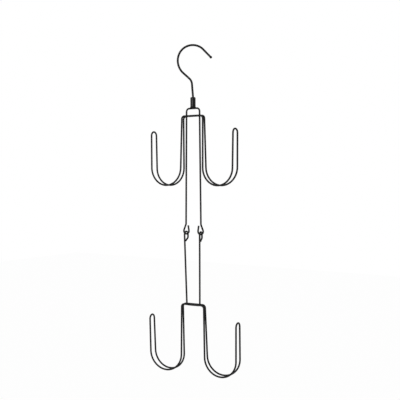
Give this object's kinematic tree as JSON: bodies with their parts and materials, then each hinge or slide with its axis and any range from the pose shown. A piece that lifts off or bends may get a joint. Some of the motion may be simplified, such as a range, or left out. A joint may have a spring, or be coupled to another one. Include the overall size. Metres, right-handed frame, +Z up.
{
  "type": "two-tier hanging rack",
  "caption": "Folding wire rack in two tiers that hangs on a closet rod by a swivel hook and holds bags on double hooks.",
  "frame": {"origin": "where the rod carries the rack: under the crown of the hanging hook, on the swivel axis", "axes": "+Z up; X along the width of the upper tier; -Y is the front of the upper tier"},
  "size_m": [0.1597, 0.034, 0.5213],
  "materials": {
    "hook_coat": "satin black coat",
    "ferrule_coat": "glossy black coat",
    "upper_frame_coat": "satin black coat",
    "upper_loop_coat": "satin black coat",
    "lower_frame_coat": "satin black coat",
    "lower_loop_coat": "satin black coat"
  },
  "bodies": {
    "hook": {"hanging_hook": "hook_coat"},
    "upper_tier": {"swivel_ferrule": "ferrule_coat", "upper_frame": "upper_frame_coat", "upper_hook_loop": "upper_loop_coat"},
    "lower_tier": {"lower_frame": "lower_frame_coat", "lower_hook_loop": "lower_loop_coat"}
  },
  "joints": [
    {"name": "hook_swivel", "type": "hinge", "parent": "hook", "child": "upper_tier", "pos_m": [0, 0, -0.09], "axis": [0, 0, 1], "continuous": true},
    {"name": "tier_fold", "type": "hinge", "parent": "upper_tier", "child": "lower_tier", "pos_m": [0, 0, -0.29564], "axis": [1, 0, 0], "range_deg": [-145, 165]}
  ]
}
